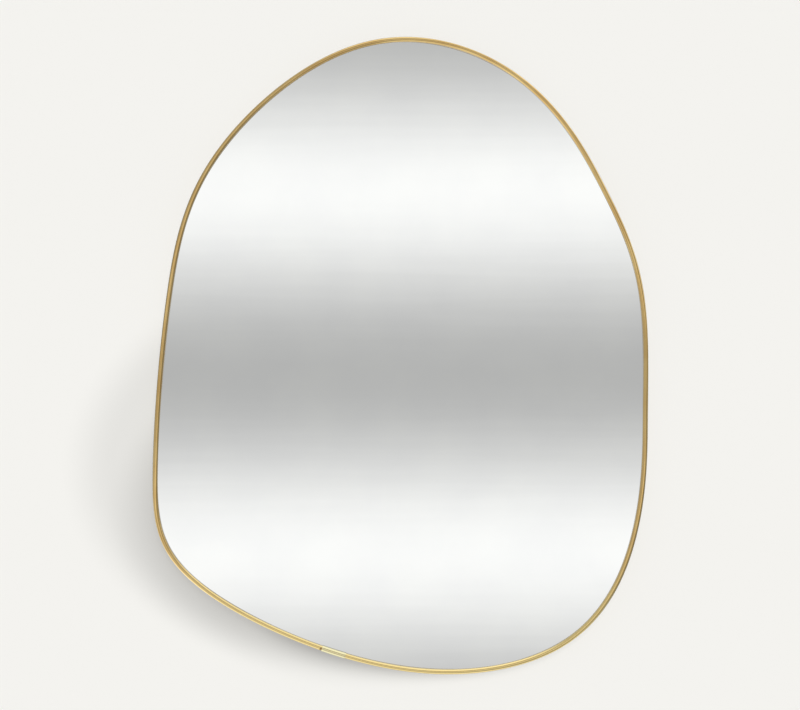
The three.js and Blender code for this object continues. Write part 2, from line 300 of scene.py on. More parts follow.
def sweep(name, section):
    # a section drawn with x inward and y forward, swept all round the edge; its own UV map is in metres
    profile = drawCurve(name + "Section", section, "POLY", True)
    profile.data.dimensions = "2D"
    profile.data.fill_mode = "NONE"
    path = drawEdge(name, rim["resolution"])
    path.data.bevel_mode = "OBJECT"
    path.data.bevel_object = profile
    pickOnly(path)
    bpy.ops.object.convert(target="MESH")
    piece = startFrom(name)
    bpy.data.objects.remove(profile)
    corners = [Vector(place) for place in section + section[:1]]
    across = [0.0]
    for here, there in zip(corners, corners[1:]):
        across.append(across[-1] + (there - here).length)
    for corner in piece.data.uv_layers[0].data:
        corner.uv = (corner.uv.x * edgeLength, across[round(corner.uv.y * len(section))])
    return piece


def trimToRun(piece, middle, length):
    # keeps only the stretch of a sweep round one place on the edge
    centre, inward = edgeAt(middle)
    farther = centre + inward * mm(100)
    openPiece(piece)
    bpy.ops.mesh.bisect(plane_co=(*farther, 0), plane_no=(*inward, 0), clear_outer=True)
    for side in (-1, 1):
        end, endInward = edgeAt(middle + side * length / 2)
        outward = Vector((-endInward.y, endInward.x)) * side
        pickAll()
        bpy.ops.mesh.bisect(plane_co=(*end, 0), plane_no=(*outward, 0), use_fill=True, clear_outer=True)
    closePiece()


def easeEdges(piece, width):
    # rounds every sharp edge of a trimmed sweep
    openPiece(piece)
    bpy.ops.mesh.remove_doubles(threshold=mergeWithin)
    bpy.ops.mesh.normals_make_consistent(inside=False)
    pick(piece, "EDGE", isSharp)
    bpy.ops.mesh.bevel(offset=width, segments=2, affect="EDGES")
    closePiece()
    cleanUp(piece)


def facingRoom(depth):
    # for what is drawn flat as seen from the front, with z forward, and stands up at a depth
    return Matrix.Translation((0, depth, 0)) @ Matrix.Rotation(math.radians(90), 4, "X")


def onBack(x, depth, z, heading):
    # for what is made flat with z up and x along its heading, and is fixed on the back with z to the wall
    towards = Vector((heading[0], 0, heading[1])).normalized()
    up = Vector((0, 1, 0))
    side = up.cross(towards)
    turn = Matrix((towards, side, up)).transposed().to_4x4()
    return Matrix.Translation((x, depth, z)) @ turn


# materials


def linearColour(hexCode):
    # sRGB hex to the linear values that the sockets take
    channels = [int(hexCode[start:start + 2], 16) / 255 for start in (1, 3, 5)]
    return [c / 12.92 if c <= 0.04045 else ((c + 0.055) / 1.055) ** 2.4 for c in channels] + [1.0]


smooth = {"interpolation_type": "SMOOTHSTEP"}
ofColours = {"data_type": "RGBA"}
multiplied = {"data_type": "RGBA", "blend_type": "MULTIPLY"}


def addNode(tree, kind, settings=None, links=None):
    # a shader node with its settings; links gives an input a constant or another node's output
    node = tree.nodes.new("ShaderNode" + kind)
    for name, value in (settings or {}).items():
        if name == "stops":
            for element, (position, colour) in zip(node.color_ramp.elements, value):
                element.position = position
                element.color = linearColour(colour)
        else:
            setattr(node, name, value)
    for socket, source in (links or {}).items():
        if isinstance(source, bpy.types.NodeSocket):
            tree.links.new(source, node.inputs[socket])
        else:
            node.inputs[socket].default_value = source
    return node


def startMaterial(name):
    # an empty material, with a place on the piece for its patterns
    material = bpy.data.materials.new(name)
    material.use_nodes = True
    tree = material.node_tree
    tree.nodes.clear()
    return material, tree, addNode(tree, "TexCoord").outputs["Object"]


def makeBrass(name, colours, roughness, lineDepth, crest, stainAndShade=None):
    # Bent brass strip, brushed along its length and lacquered: a warm yellow metal whose highlights run as
    # long thin lines, paler where the clear lacquer catches the light, and never quite true along the bend.
    # colours: the lacquer's two tones and the paler tone of the lower edge, a painted highlight as well as
    # rubbing
    # crest: how far along the section the top of the nose is
    material, tree, place = startMaterial(name)
    uv = addNode(tree, "UVMap", {"uv_map": "UVMap"}).outputs["UV"]
    across = addNode(tree, "SeparateXYZ", links={0: uv}).outputs[1]
    # Brushing lines: 1 mm apart, drawn coarser than the real 0.05 mm so they show, and about 60 mm long
    stretched = addNode(tree, "Mapping", links={"Vector": uv, "Scale": (16, 1000, 1)}).outputs[0]
    lines = addNode(tree, "TexNoise", links={"Vector": stretched, "Scale": 1.0, "Detail": 3.0}).outputs[0]
    # The strip twists a few degrees to and fro about its crest, every 150 mm or so, from the bending rolls
    rolled = addNode(tree, "Mapping", links={"Vector": uv, "Scale": (6.5, 0, 1)}).outputs[0]
    twist = addNode(tree, "TexNoise", links={"Vector": rolled, "Scale": 1.0, "Detail": 0.0}).outputs[0]
    sway = addNode(tree, "Math", {"operation": "MULTIPLY_ADD"}, {0: twist, 1: 0.8, 2: -0.4}).outputs[0]
    offCrest = addNode(tree, "Math", {"operation": "SUBTRACT"}, {0: across, 1: crest}).outputs[0]
    onNose = addNode(tree, "Math", {"operation": "MAXIMUM"}, {0: offCrest, 1: -mm(8)}).outputs[0]
    tilt = addNode(tree, "Math", {"operation": "MULTIPLY"}, {0: sway, 1: onNose}).outputs[0]
    # Lacquer clouds about 40 mm across
    clouds = addNode(tree, "TexNoise", links={"Vector": place, "Scale": 25.0, "Detail": 5.0}).outputs[0]
    stops = [(0.35, colours[0]), (0.65, colours[1])]
    lacquered = addNode(tree, "ValToRGB", {"stops": stops}, {"Fac": clouds}).outputs[0]
    # The lower edge is painted paler over some 150 mm: a painted highlight, and rubbing where hands lift it
    height = addNode(tree, "SeparateXYZ", links={0: place}).outputs[2]
    reach = {"Value": height, "From Min": -0.5, "From Max": -0.65}
    rubbedAndHighlit = addNode(tree, "MapRange", smooth, reach).outputs[0]
    paler = linearColour(colours[2])
    tone = addNode(tree, "Mix", ofColours, {0: rubbedAndHighlit, 6: lacquered, 7: paler}).outputs[2]
    # Painted shade in the corner by the glass, with some grime that polishing leaves there
    corner = {"Value": offCrest, "From Min": mm(6.9), "From Max": mm(7.6), "To Max": 0.8}
    grimeAndShade = addNode(tree, "MapRange", smooth, corner).outputs[0]
    stainedAndShaded = addNode(tree, "Mix", ofColours, {0: grimeAndShade, 6: tone, 7: linearColour("#5E4A2A")}).outputs[2]
    # Painted shade by the sleeve's left end, where its step meets the rim, and a brown flux stain where the
    # joint was brazed, with a ragged edge
    if stainAndShade:
        spot = addNode(tree, "Mapping", {"vector_type": "TEXTURE"}, dict(stainAndShade, Vector=place)).outputs[0]
        apart = addNode(tree, "VectorMath", {"operation": "LENGTH"}, {0: spot}).outputs["Value"]
        fray = {0: clouds, 1: 0.5, 2: apart}
        ragged = addNode(tree, "Math", {"operation": "MULTIPLY_ADD"}, fray).outputs[0]
        stainAndShadeEdge = {"Value": ragged, "From Min": 1.0, "From Max": 1.35}
        clean = addNode(tree, "MapRange", smooth, stainAndShadeEdge).outputs[0]
        stainedAndShaded = addNode(tree, "Mix", ofColours, {0: clean, 6: linearColour("#B08B4C"), 7: stainedAndShaded}).outputs[2]
    spread = {"Value": lines, "To Min": roughness * 0.8, "To Max": roughness * 1.25}
    gloss = addNode(tree, "MapRange", links=spread).outputs[0]
    swayed = addNode(tree, "Bump", links={"Height": tilt, "Strength": 1.0, "Distance": 1.0}).outputs[0]
    brushed = {"Height": lines, "Strength": 1.0, "Distance": lineDepth, "Normal": swayed}
    lined = addNode(tree, "Bump", links=brushed).outputs[0]
    look = {
        "Base Color": stainedAndShaded, "Metallic": 1.0, "Roughness": gloss, "Normal": lined,
        "Coat Weight": 1.0, "Coat Roughness": 0.05, "Coat IOR": 1.5, "Coat Normal": swayed,
    }
    shader = addNode(tree, "BsdfPrincipled", links=look).outputs[0]
    addNode(tree, "OutputMaterial", links={"Surface": shader})
    return material


def makeMirror():
    # Silvered float glass: an almost colourless mirror under a clear front that is very nearly flat.
    material, tree, place = startMaterial("silveredFloatGlass")
    # Draw waves of the float line: long, level swells about 60 mm apart, deeper than the real nanometres
    swell = addNode(tree, "Mapping", links={"Vector": place, "Scale": (1.5, 1, 16)}).outputs[0]
    waves = addNode(tree, "TexNoise", links={"Vector": swell, "Scale": 1.0, "Detail": 2.0}).outputs[0]
    flat = addNode(tree, "Bump", links={"Height": waves, "Strength": 1.0, "Distance": mm(0.03)}).outputs[0]
    # Silvering varies a little in clouds some 80 mm across
    clouds = addNode(tree, "TexNoise", links={"Vector": place, "Scale": 12.0, "Detail": 4.0}).outputs[0]
    stops = [(0.3, "#F5F6F5"), (0.7, "#F9FAF8")]
    tone = addNode(tree, "ValToRGB", {"stops": stops}, {"Fac": clouds}).outputs[0]
    look = {"Base Color": tone, "Metallic": 1.0, "Roughness": 0.005, "Normal": flat}
    shader = addNode(tree, "BsdfPrincipled", links=look).outputs[0]
    addNode(tree, "OutputMaterial", links={"Surface": shader})
    return material


def makeFibreboard():
    # Sanded medium-density fibreboard: matt warm brown, felted from short fibres, with a few darker flecks.
    material, tree, place = startMaterial("sandedFibreboard")
    # Press clouds about 90 mm across
    clouds = addNode(tree, "TexNoise", links={"Vector": place, "Scale": 11.0, "Detail": 3.0}).outputs[0]
    stops = [(0.3, "#B39469"), (0.7, "#BA9B71")]
    board = addNode(tree, "ValToRGB", {"stops": stops}, {"Fac": clouds}).outputs[0]
    # Fibres 0.7 mm wide and some 3 mm long, drawn coarser than the real 0.1 mm and strewn two ways
    layers = []
    for turn in (0.5, 2.1):
        drawn = {"Vector": place, "Scale": (330, 1400, 1400), "Rotation": (0, turn, 0)}
        strewn = addNode(tree, "Mapping", links=drawn).outputs[0]
        curled = {"Vector": strewn, "Scale": 1.0, "Detail": 3.0, "Distortion": 1.5}
        layers.append(addNode(tree, "TexNoise", links=curled).outputs[0])
    fibres = addNode(tree, "Math", {"operation": "MINIMUM"}, {0: layers[0], 1: layers[1]}).outputs[0]
    stops = [(0.3, "#9A8F84"), (0.52, "#FFFFFF")]
    felt = addNode(tree, "ValToRGB", {"stops": stops}, {"Fac": fibres}).outputs[0]
    mixed = addNode(tree, "Mix", multiplied, {0: 0.7, 6: board, 7: felt}).outputs[2]
    # Dark bark flecks 1 to 2 mm across, thinly scattered
    specks = addNode(tree, "TexNoise", links={"Vector": place, "Scale": 520.0, "Detail": 1.0}).outputs[0]
    stops = [(0.27, "#4E3A26"), (0.31, "#FFFFFF")]
    fleck = addNode(tree, "ValToRGB", {"stops": stops}, {"Fac": specks}).outputs[0]
    flecked = addNode(tree, "Mix", multiplied, {0: 0.8, 6: mixed, 7: fleck}).outputs[2]
    felted = {"Height": fibres, "Strength": 0.6, "Distance": mm(0.12)}
    rough = addNode(tree, "Bump", links=felted).outputs[0]
    look = {"Base Color": flecked, "Roughness": 0.86, "IOR": 1.45, "Normal": rough}
    shader = addNode(tree, "BsdfPrincipled", links=look).outputs[0]
    addNode(tree, "OutputMaterial", links={"Surface": shader})
    return material


def makeFoam():
    # Closed-cell polyethylene foam tape: matt off-white with small round cells.
    material, tree, place = startMaterial("polyethyleneFoam")
    # Cells 0.6 mm across
    cells = addNode(tree, "TexVoronoi", links={"Vector": place, "Scale": 1600.0}).outputs["Distance"]
    stops = [(0.1, "#F1EFE9"), (0.8, "#DCD9D0")]
    tone = addNode(tree, "ValToRGB", {"stops": stops}, {"Fac": cells}).outputs[0]
    dimpled = addNode(tree, "Bump", links={"Height": cells, "Strength": 0.5, "Distance": mm(0.2)}).outputs[0]
    look = {"Base Color": tone, "Roughness": 0.9, "IOR": 1.5, "Normal": dimpled}
    shader = addNode(tree, "BsdfPrincipled", links=look).outputs[0]
    addNode(tree, "OutputMaterial", links={"Surface": shader})
    return material


def makeZincedSteel():
    # Stamped steel, electroplated with bright zinc: a cool grey metal, softly mottled, with rolling lines.
    material, tree, place = startMaterial("brightZincedSteel")
    # Plating mottle about 2.5 mm across, and rolling lines 0.3 mm apart
    mottle = addNode(tree, "TexNoise", links={"Vector": place, "Scale": 400.0, "Detail": 4.0}).outputs[0]
    rolled = addNode(tree, "Mapping", links={"Vector": place, "Scale": (3300, 3300, 250)}).outputs[0]
    lines = addNode(tree, "TexNoise", links={"Vector": rolled, "Scale": 1.0, "Detail": 2.0}).outputs[0]
    stops = [(0.3, "#B9BDC2"), (0.7, "#D6D7D4")]
    tone = addNode(tree, "ValToRGB", {"stops": stops}, {"Fac": mottle}).outputs[0]
    gloss = addNode(tree, "MapRange", links={"Value": mottle, "To Min": 0.24, "To Max": 0.42}).outputs[0]
    lined = addNode(tree, "Bump", links={"Height": lines, "Strength": 0.5, "Distance": mm(0.03)}).outputs[0]
    look = {"Base Color": tone, "Metallic": 1.0, "Roughness": gloss, "Normal": lined}
    shader = addNode(tree, "BsdfPrincipled", links=look).outputs[0]
    addNode(tree, "OutputMaterial", links={"Surface": shader})
    return material


def makeRubber():
    # Moulded rubber: matt near-black with a fine eroded texture and a trace of dust.
    material, tree, place = startMaterial("mouldedRubber")
    # Spark-eroded grain 0.35 mm across, and dust about 3 mm across
    grain = addNode(tree, "TexNoise", links={"Vector": place, "Scale": 2800.0, "Detail": 2.0}).outputs[0]
    dust = addNode(tree, "TexNoise", links={"Vector": place, "Scale": 330.0, "Detail": 5.0}).outputs[0]
    stops = [(0.4, "#202123"), (0.75, "#35363A")]
    tone = addNode(tree, "ValToRGB", {"stops": stops}, {"Fac": dust}).outputs[0]
    grained = addNode(tree, "Bump", links={"Height": grain, "Strength": 0.5, "Distance": mm(0.08)}).outputs[0]
    look = {"Base Color": tone, "Roughness": 0.68, "IOR": 1.52, "Normal": grained}
    shader = addNode(tree, "BsdfPrincipled", links=look).outputs[0]
    addNode(tree, "OutputMaterial", links={"Surface": shader})
    return material


silveredGlass = makeMirror()
fibreboard = makeFibreboard()
foam = makeFoam()
zincedSteel = makeZincedSteel()
rubber = makeRubber()
print("materials made")

# rim, sleeve and splice plate

rim = {
    "noseRadius": mm(3.6),
    "noseDepth": mm(6),
    "wallThickness": mm(1.5),
    "edgeRound": mm(0.3),
    "heelRound": mm(0.6),
    "resolution": 44,  # steps between two pull points
    "seamBearing": 192.7,
    "seamGap": mm(0.4),
    "seamCut": (mm(30), mm(60)),  # its cutter, across the strip and through its depth
    "crest": mm(27.2),
}
sleeve = {"length": mm(35), "lining": mm(0.25), "skin": mm(0.648), "edgeRound": mm(0.12), "crest": mm(28.1)}
# Where the painted shade and the flux stain lie, beside the sleeve's left end
stepShadeAndStain = {
    "along": mm(2.1),
    "deep": mm(7),
    "across": mm(3.0),
    "beforeEnd": mm(1.2),
    "fromEdge": mm(2.2),
    "behindNose": mm(1.5),
}
rimRear = rimHigh.y
rimDepth = rimHigh.y - rimLow.y
seamLength = lengthAtBearing(rim["seamBearing"])

sleeveEnds = [edgeAt(seamLength + side * sleeve["length"] / 2) for side in (-1, 1)]
leftEnd, leftInward = min(sleeveEnds, key=lambda end: end[0].x)
leftAlong = Vector((-leftInward.y, leftInward.x))
stainAndShadeCentre = leftEnd + leftInward * stepShadeAndStain["fromEdge"] + leftAlong * stepShadeAndStain["beforeEnd"]
jointShadeAndStain = {
    "Location": (stainAndShadeCentre.x, rimLow.y + stepShadeAndStain["behindNose"], stainAndShadeCentre.y),
    "Rotation": (0, math.atan2(leftInward.x, leftInward.y), 0),
    "Scale": (stepShadeAndStain["along"], stepShadeAndStain["deep"], stepShadeAndStain["across"]),
}
# The third colour is the lower edge's painted highlight, which also stands for rubbing
satinBrass = makeBrass(
    "satinLacqueredBrass", ("#DDB46A", "#EAC67E", "#FFE094"), 0.08, mm(0.01), rim["crest"], jointShadeAndStain
)
# The sleeve is polished after brazing, so it is paler and its brushing lines nearly gone
polishedBrass = makeBrass(
    "polishedBrass", ("#FFEAA6", "#FFF0B8", "#FFF0B8"), 0.03, mm(0.003), sleeve["crest"]
)


def makeRim():
    nose, wall = rim["noseRadius"], rim["wallThickness"]
    heel = rimDepth - rim["noseDepth"]
    small, large = rim["edgeRound"], rim["heelRound"]
    section = (
        arc(small, small, small, 270, 180, 3)
        + arc(nose, rimDepth - nose, nose, 180, 0, 18)
        + arc(2 * nose - large, heel + large, large, 0, -90, 4)
        + arc(wall + small, heel - small, small, 90, 180, 3)
        + arc(wall - small, small, small, 0, -90, 3)
    )
    piece = sweep("brassRim", section)
    # The two ends of the bent strip don't quite meet
    seam, inward = edgeAt(seamLength)
    pickNothing()
    turn = math.atan2(inward.y, inward.x)
    bpy.ops.mesh.primitive_cube_add(size=1, location=(*seam, rimDepth / 2), rotation=(0, 0, turn))
    slot = startFrom("seamSlot")
    slot.scale = (rim["seamCut"][0], rim["seamGap"], rim["seamCut"][1])
    applyPlace()
    cutAway(piece, slot)
    cleanUp(piece)
    placeMesh(piece, facingRoom(rimRear))
    finishPiece(piece, satinBrass, "mirror", "brass", "frame_rim")


def makeSleeve():
    nose, lining, skin = rim["noseRadius"], sleeve["lining"], sleeve["skin"]
    heel = rimDepth - rim["noseDepth"]
    front = rimDepth - nose
    section = (
        [(-skin, 0)]
        + arc(nose, front, nose + skin, 180, 0, 18)
        + [(2 * nose + skin, heel), (2 * nose + lining, heel)]
        + arc(nose, front, nose + lining, 0, 180, 18)
        + [(-lining, 0)]
    )
    piece = sweep("jointSleeve", section)
    trimToRun(piece, seamLength, sleeve["length"])
    easeEdges(piece, sleeve["edgeRound"])
    placeMesh(piece, facingRoom(rimRear))
    finishPiece(piece, polishedBrass, "mirror", "polished_brass", "joint_sleeve")


splice = {"length": mm(60), "thickness": mm(2), "height": mm(5), "gap": mm(0.3), "edgeRound": mm(0.3)}


def makeSplice():
    inner = rim["wallThickness"] + splice["gap"]
    outer = inner + splice["thickness"]
    section = [(inner, 0), (inner, splice["height"]), (outer, splice["height"]), (outer, 0)]
    piece = sweep("splicePlate", section)
    trimToRun(piece, seamLength, splice["length"])
    easeEdges(piece, splice["edgeRound"])
    placeMesh(piece, facingRoom(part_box("splice_plate")[1].y))
    finishPiece(piece, zincedSteel, "mirror", "zinced_steel", "splice_plate")


makeRim()
makeSleeve()
makeSplice()
print("rim made")

# glass and back

panel = {"inset": mm(2.5), "steps": 16, "arris": mm(0.4), "boardRound": mm(0.3)}


def makePanel(name, thickness, edgeCut, segments):
    # a sheet with the rim's own outline, inset and cut to its thickness
    pickOnly(drawEdge(name, panel["steps"]))
    bpy.ops.object.convert(target="MESH")
    piece = startFrom(name)
    openPiece(piece)
    bpy.ops.mesh.remove_doubles(threshold=sameSpot)
    bpy.ops.mesh.edge_face_add()
    bpy.ops.mesh.select_mode(type="FACE")
    bpy.ops.mesh.inset(thickness=panel["inset"], depth=0)
    bpy.ops.mesh.select_all(action="INVERT")
    bpy.ops.mesh.delete(type="FACE")
    pickAll()
    extrudeUp(thickness)
    pickAll()
    bpy.ops.mesh.normals_make_consistent(inside=False)
    pick(piece, "EDGE", isSharp)
    bpy.ops.mesh.bevel(offset=edgeCut, segments=segments, affect="EDGES")
    closePiece()
    return piece


def makeGlass():
    low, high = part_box("mirror_glass")
    piece = makePanel("mirrorGlass", high.y - low.y, panel["arris"], 1)
    cleanUp(piece, 20)
    placeMesh(piece, facingRoom(high.y))
    finishPiece(piece, silveredGlass, "mirror", "silvered_glass", "mirror_glass")


clip = {
    "count": 10,
    "width": mm(14),
    "foot": mm(15),
    "upstand": mm(5.5),
    "thickness": mm(1),
    "bend": mm(2),  # outer radius
    "corner": mm(3),
    "edgeRound": mm(0.15),
    "screwPlace": mm(9.5),
    "gap": mm(0.3),
}
screwHole = mm(0.3)  # clearance round a shank
boardDrill = (-mm(1), mm(8))  # each drill starts below the sheet and ends above it
clipDrill = (-mm(2), mm(3))
strapDrill = (-mm(1), mm(1.4))
clipScrew = {
    "shank": mm(1.45),
    "head": mm(2.8),
    "length": mm(6),
    "headHeight": mm(1.8),
    "recess": mm(3.2),
}
hangerScrew = {
    "shank": mm(1.75),
    "head": mm(3.4),
    "length": mm(6.5),
    "headHeight": mm(2.1),
    "recess": mm(3.9),
}
screwForm = {
    "tip": mm(1.5),
    "tipShare": 0.06,  # of the shank
    "crownShare": 0.62,  # of the head's height
    "slotWidth": 0.22,  # of the recess
    "slotDepth": 1.3,  # of the head's height, half of it above the head
    "slotTaper": (0.45, 0.7),  # of the slot's foot, along it and across
}
hanger = {
    "width": mm(14),
    "thickness": mm(1.2),
    "length": mm(40),
    "corner": mm(5),
    "eye": mm(3),  # outer radius of the rolled eye
    "rollGap": mm(0.3),
    "screws": (mm(9.5), mm(33)),
    "edgeRound": mm(0.18),
}
clipSpacing = edgeLength / clip["count"]
clipPlaces = [edgeAt(seamLength + (index + 0.5) * clipSpacing) for index in range(clip["count"])]
clipScrewPoints = [
    point + inward * (rim["wallThickness"] + clip["gap"] + clip["screwPlace"]) for point, inward in clipPlaces
]
hingeAxis = {joint["name"].split("_")[1]: Vector(joint["pos_m"]) for joint in frame["joints"]}
hangerScrewPoints = [
    Vector((hingeAxis[side].x, hingeAxis[side].z - place))
    for side in ("left", "right")
    for place in hanger["screws"]
]


def drillHoles(piece, points, radius, reach):
    # round holes along z, bored with one cutter
    low, high = reach
    cutters = []
    for x, y in points:
        pickNothing()
        bpy.ops.mesh.primitive_cylinder_add(
            vertices=roundSides, radius=radius, depth=high - low, location=(x, y, (low + high) / 2)
        )
        cutters.append(startFrom("drill"))
    pickNothing()
    for cutter in cutters:
        cutter.select_set(True)
    bpy.context.view_layer.objects.active = cutters[0]
    if len(cutters) > 1:
        bpy.ops.object.join()
    applyPlace()
    cutAway(piece, cutters[0])


def makeBoard():
    low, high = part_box("backing_board")
    piece = makePanel("backBoard", high.y - low.y, panel["boardRound"], 2)
    drillHoles(piece, clipScrewPoints, clipScrew["shank"] + screwHole, boardDrill)
    drillHoles(piece, hangerScrewPoints, hangerScrew["shank"] + screwHole, boardDrill)
    cleanUp(piece, 40)
    placeMesh(piece, facingRoom(high.y))
    finishPiece(piece, fibreboard, "mirror", "fibreboard", "backing_board")


makeGlass()
makeBoard()
for node in frame["nodes"]:
    if node.startswith("foam_tape"):
        frame["nodes"][node].material_slots[0].material = foam
print("glass and back made")

# clips, screws, hangers and bumpers


def makeClip():
    # the face that touches the side wall and the back, bent up and then thickened inward
    pickNothing()
    half = clip["foot"] / 2
    bpy.ops.mesh.primitive_plane_add(size=1, location=(half, 0, 0))
    piece = startFrom("cornerClip")
    piece.scale = (clip["foot"], clip["width"], 1)
    applyPlace()
    openPiece(piece)
    pick(piece, "EDGE", lambda edge: middleOf(edge).x < sameSpot)
    extrudeUp(clip["upstand"])
    pick(piece, "EDGE", lambda edge: abs(middleOf(edge).x) < sameSpot and abs(middleOf(edge).z) < sameSpot)
    bpy.ops.mesh.bevel(offset=clip["bend"], segments=8, affect="EDGES")
    pick(piece, "VERT", lambda vertex: vertex.co.x > clip["foot"] - sameSpot)
    bpy.ops.mesh.bevel(offset=clip["corner"], segments=8, affect="VERTICES")
    pickAll()
    bpy.ops.mesh.normals_make_consistent(inside=False)
    closePiece()
    outward = sum(polygon.normal.z for polygon in piece.data.polygons) < 0
    applyModifier(piece, "SOLIDIFY", {"thickness": clip["thickness"], "offset": -1 if outward else 1})
    drillHoles(piece, [(clip["screwPlace"], 0)], clipScrew["shank"] + screwHole, clipDrill)
    softenCorners(piece, clip["edgeRound"])
    cleanUp(piece)
    return piece


def makeScrew(name, screw):
    # a pan head with a cross recess, on a shank that tapers to a point
    pickNothing()
    height, tip = screw["headHeight"], screwForm["tip"]
    bpy.ops.mesh.primitive_cylinder_add(
        vertices=roundSides, radius=screw["head"], depth=height, location=(0, 0, height / 2)
    )
    piece = startFrom(name)
    applyPlace()
    openPiece(piece)
    pick(piece, "FACE", facesDown)
    bpy.ops.mesh.inset(thickness=screw["head"] - screw["shank"], depth=0)
    extrudeUp(tip - screw["length"])
    extrudeUp(-tip)
    bpy.ops.transform.resize(value=(screwForm["tipShare"], screwForm["tipShare"], 1))
    pick(piece, "EDGE", lambda edge: min(vertex.co.z for vertex in edge.verts) > height - sameSpot)
    bpy.ops.mesh.bevel(offset=height * screwForm["crownShare"], segments=6, affect="EDGES")
    closePiece()
    # The recess is cut slot by slot, each narrower at its foot
    alongTaper, acrossTaper = screwForm["slotTaper"]
    for turn, taper in ((0, (alongTaper, acrossTaper)), (90, (acrossTaper, alongTaper))):
        pickNothing()
        bpy.ops.mesh.primitive_cube_add(size=1, location=(0, 0, height))
        cross = startFrom("driver")
        width, depth = screw["recess"] * screwForm["slotWidth"], height * screwForm["slotDepth"]
        cross.scale = (screw["recess"], width, depth)
        cross.rotation_euler = (0, 0, math.radians(turn))
        applyPlace()
        openPiece(cross)
        pick(cross, "FACE", facesDown)
        bpy.ops.transform.resize(value=(*taper, 1))
        closePiece()
        cutAway(piece, cross)
    cleanUp(piece, 40)
    return piece


def makeStrap():
    # a flat strip whose end is spun into the eye, then thickened inward
    pickNothing()
    length, eye = hanger["length"], hanger["eye"]
    bpy.ops.mesh.primitive_plane_add(size=1, location=(length / 2, 0, 0))
    piece = startFrom("hangerStrap")
    piece.scale = (length, hanger["width"], 1)
    applyPlace()
    openPiece(piece)
    pick(piece, "VERT", lambda vertex: vertex.co.x > length - sameSpot)
    bpy.ops.mesh.bevel(offset=hanger["corner"], segments=8, affect="VERTICES")
    pick(piece, "EDGE", lambda edge: middleOf(edge).x < sameSpot)
    closing = math.acos(1 - (hanger["thickness"] + hanger["rollGap"]) / eye)
    bpy.ops.mesh.spin(steps=30, angle=-(2 * math.pi - closing), center=(0, 0, eye), axis=(0, 1, 0))
    pickAll()
    bpy.ops.mesh.remove_doubles(threshold=mm(0.001))
    closePiece()
    flat = min(piece.data.polygons, key=lambda polygon: abs(polygon.center.x - length / 2))
    inward = 1 if flat.normal.z > 0 else -1
    applyModifier(piece, "SOLIDIFY", {"thickness": hanger["thickness"], "offset": inward})
    holes = [(place, 0) for place in hanger["screws"]]
    drillHoles(piece, holes, hangerScrew["shank"] + screwHole, strapDrill)
    softenCorners(piece, hanger["edgeRound"])
    cleanUp(piece)
    return piece


ring = {"wire": mm(1.5), "innerWidth": mm(18), "innerLength": mm(22.5), "corner": mm(3), "endGap": mm(0.5)}


def makeRing():
    # round wire bent on a former: a straight bar, two arms and a half-round bow, its ends nearly meeting
    arm = ring["innerWidth"] / 2 + ring["wire"]
    bow = -(ring["wire"] + ring["innerLength"] - ring["innerWidth"] / 2)
    bend = arm - ring["corner"]
    places = (
        [(ring["endGap"] / 2, 0)]
        + arc(bend, -ring["corner"], ring["corner"], 90, 0, 8)
        + arc(0, bow, arm, 0, -180, 36)
        + arc(-bend, -ring["corner"], ring["corner"], 180, 90, 8)
        + [(-ring["endGap"] / 2, 0)]
    )
    wire = drawCurve("hangerRing", places, "POLY", False)
    wire.data.dimensions = "3D"
    wire.data.bevel_depth = ring["wire"]
    wire.data.bevel_resolution = 6
    wire.data.use_fill_caps = True
    pickOnly(wire)
    bpy.ops.object.convert(target="MESH")
    piece = startFrom("hangerRing")
    cleanUp(piece, 40)
    return piece


bumper = {
    "sides": 48,
    "foot": mm(7),
    "shoulder": mm(5.5),
    "tip": mm(5),
    "edge": mm(1),
    "edgeRound": mm(0.35),
    "dimple": mm(2.4),
    "dimpleDepth": mm(0.6),
    "dimpleFloor": 0.8,  # of the dimple
}


def makeBumper(height):
    # a tapered rubber foot with a rounded tip and a shallow dimple
    pickNothing()
    side = height - bumper["edge"]
    bpy.ops.mesh.primitive_cone_add(
        vertices=bumper["sides"], radius1=bumper["foot"], radius2=bumper["shoulder"],
        depth=side, location=(0, 0, side / 2),
    )
    piece = startFrom("wallBumper")
    applyPlace()
    openPiece(piece)
    pick(piece, "FACE", facesUp)
    extrudeUp(bumper["edge"])
    shrink = bumper["tip"] / bumper["shoulder"]
    bpy.ops.transform.resize(value=(shrink, shrink, 1))
    bpy.ops.mesh.inset(thickness=bumper["tip"] - bumper["dimple"], depth=0)
    extrudeUp(-bumper["dimpleDepth"])
    bpy.ops.transform.resize(value=(bumper["dimpleFloor"], bumper["dimpleFloor"], 1))
    closePiece()
    softenCorners(piece, bumper["edgeRound"], 3, 0.4)
    cleanUp(piece, 50)
    return piece


def fixCopies(pattern, places, material, slotName):
    # one copy of a finished pattern in the place of each node, then the pattern goes
    for node, matrix in places.items():
        words = node.split("_")
        # Each ring rides a body of its own, named without its first word
        copy = copyPiece(pattern, words[0] + "".join(word.capitalize() for word in words[1:]), matrix)
        body = "_".join(words[1:]) if words[1] == "ring" else "mirror"
        finishPiece(copy, material, body, slotName, node)
    bpy.data.objects.remove(pattern)


clipMatrices = {}
for index, (point, inward) in enumerate(clipPlaces):
    seat = point + inward * (rim["wallThickness"] + clip["gap"])
    node = f"board_clip_{index + 1:02d}"
    clipMatrices[node] = onBack(seat.x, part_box(node)[0].y, seat.y, inward)
fixCopies(makeClip(), clipMatrices, zincedSteel, "zinced_steel")

# How far each driver stopped, in degrees
clipScrewTurns = (12, 71, 38, 84, 5, 52, 27, 66, 19, 45)
hangerScrewTurns = (33, 78, 8, 58)


